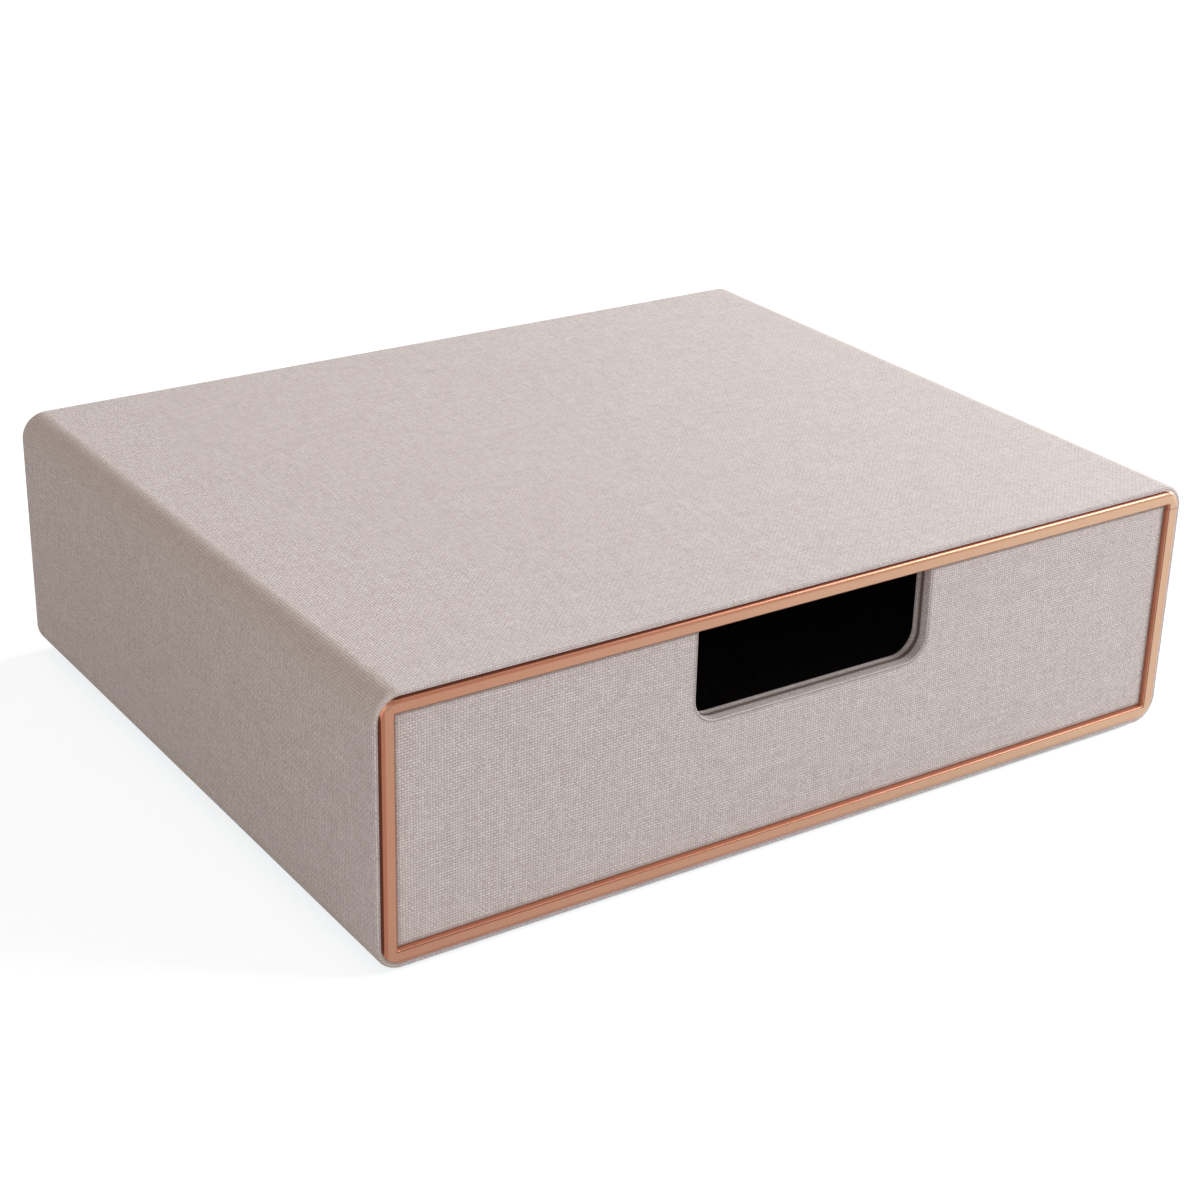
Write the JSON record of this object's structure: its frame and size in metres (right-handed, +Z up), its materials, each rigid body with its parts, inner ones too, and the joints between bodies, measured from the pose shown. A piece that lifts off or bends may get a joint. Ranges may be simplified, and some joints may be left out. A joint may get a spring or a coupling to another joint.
{
  "type": "file box with drawer",
  "caption": "Low fabric-wrapped desk box with rounded long edges, a copper-coloured metal frame round its mouth and one full-width drawer with a finger notch.",
  "frame": {"origin": "middle of the footprint, on the surface that the feet stand on", "axes": "+Z up, -Y towards the drawer front, +X to the right as seen from the front"},
  "size_m": [0.33, 0.2712, 0.0969],
  "materials": {
    "linen": "greige linen-look plain weave",
    "copper_trim": "rose-gold anodised, satin",
    "board": "fibreboard",
    "faced_board": "fibreboard faced with black paper",
    "lining": "black, matt",
    "felt": "black felt",
    "foot_pad": "matt",
    "brad_steel": "plain"
  },
  "bodies": {
    "case": {"case_top_board": "board", "case_bottom_board": "board", "case_left_board": "board", "case_right_board": "board", "case_back_board": "board", "case_wrap": "linen", "back_cover": "linen", "case_lining": "lining", "front_frame": "copper_trim", "base_sheet": "lining", "foot_front_left": "foot_pad", "foot_front_right": "foot_pad", "foot_back_left": "foot_pad", "foot_back_right": "foot_pad", "rear_bumper_left": "felt", "rear_bumper_right": "felt", "case_brads": "brad_steel"},
    "drawer": {"drawer_front_board": "board", "drawer_front_cover": "linen", "drawer_inner_front": "faced_board", "notch_binding": "linen", "drawer_left_side": "faced_board", "drawer_right_side": "faced_board", "drawer_back": "faced_board", "drawer_floor": "faced_board", "drawer_wall_liner": "lining", "drawer_floor_liner": "felt", "drawer_brads": "brad_steel"}
  },
  "joints": [
    {"name": "drawer_slide", "type": "slide", "parent": "case", "child": "drawer", "axis": [0, -1, 0], "range_m": [0, 0.2]}
  ]
}
